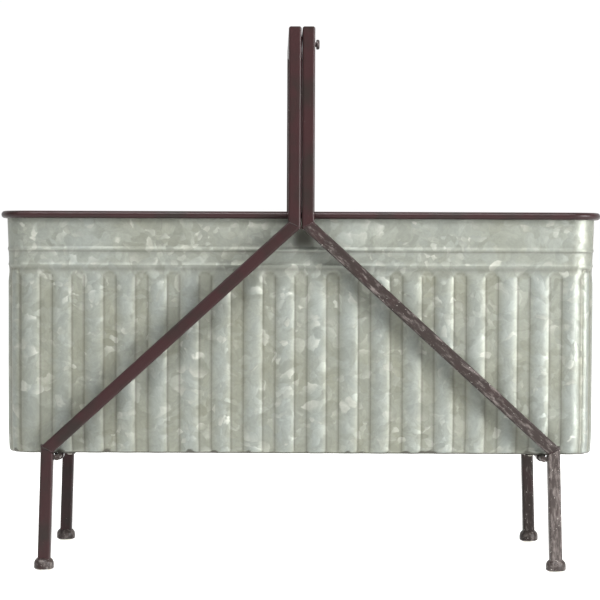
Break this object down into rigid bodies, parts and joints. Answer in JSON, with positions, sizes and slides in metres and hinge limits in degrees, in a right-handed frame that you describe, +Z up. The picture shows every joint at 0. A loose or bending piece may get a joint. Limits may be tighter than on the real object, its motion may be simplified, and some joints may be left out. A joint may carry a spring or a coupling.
{
  "type": "raised planter",
  "caption": "Ribbed galvanised tub carried by folding square-tube frames that form its splayed legs, side braces and joined top handle.",
  "frame": {"origin": "on the floor under the middle of the tub", "axes": "+X along the tub, to the right seen from the front; +Y from front to back; +Z up"},
  "size_m": [0.6104, 0.2502, 0.5447],
  "materials": {
    "galvanised_sheet": "hot-dip galvanised with soft spangle",
    "bronze_painted_steel": "dark bronze-brown paint, worn and mottled",
    "zinc_plated_steel": "dull zinc plate",
    "dark_steel": "dark painted steel",
    "glide_plastic": "moulded off-white plastic"
  },
  "bodies": {
    "tub": {"end_seam_left": "galvanised_sheet", "end_seam_right": "galvanised_sheet", "saddle_strap_left_back": "bronze_painted_steel", "saddle_strap_left_front": "bronze_painted_steel", "saddle_strap_right_back": "bronze_painted_steel", "saddle_strap_right_front": "bronze_painted_steel", "strap_rivets": "zinc_plated_steel", "top_rim": "bronze_painted_steel", "tub_base": "galvanised_sheet", "wall_back": "galvanised_sheet", "wall_front": "galvanised_sheet"},
    "left_frame": {"left_back_brace": "bronze_painted_steel", "left_back_foot_cup": "bronze_painted_steel", "left_back_glide_pad": "glide_plastic", "left_back_leg": "bronze_painted_steel", "left_back_upright": "bronze_painted_steel", "left_crossbar": "bronze_painted_steel", "left_front_brace": "bronze_painted_steel", "left_front_foot_cup": "bronze_painted_steel", "left_front_glide_pad": "glide_plastic", "left_front_leg": "bronze_painted_steel", "left_front_upright": "bronze_painted_steel", "left_pivot_rod": "bronze_painted_steel", "left_rod_welds": "bronze_painted_steel"},
    "right_frame": {"right_back_brace": "bronze_painted_steel", "right_back_foot_cup": "bronze_painted_steel", "right_back_glide_pad": "glide_plastic", "right_back_leg": "bronze_painted_steel", "right_back_upright": "bronze_painted_steel", "right_crossbar": "bronze_painted_steel", "right_front_brace": "bronze_painted_steel", "right_front_foot_cup": "bronze_painted_steel", "right_front_glide_pad": "glide_plastic", "right_front_leg": "bronze_painted_steel", "right_front_upright": "bronze_painted_steel", "right_pivot_rod": "bronze_painted_steel", "right_rod_welds": "bronze_painted_steel", "lock_pin_bush": "dark_steel"},
    "lock_pin": {"lock_pin": "dark_steel", "lock_pin_collar": "dark_steel"}
  },
  "joints": [
    {"name": "left_frame_fold", "type": "hinge", "parent": "tub", "child": "left_frame", "pos_m": [-0.2439, 0, 0.11342], "axis": [0, -1, 0], "range_deg": [0, 88]},
    {"name": "right_frame_fold", "type": "hinge", "parent": "tub", "child": "right_frame", "pos_m": [0.2439, 0, 0.11342], "axis": [0, 1, 0], "range_deg": [0, 88]},
    {"name": "lock_pin_push", "type": "slide", "parent": "right_frame", "child": "lock_pin", "axis": [-1, 0, 0], "range_m": [0, 0.0022]}
  ]
}
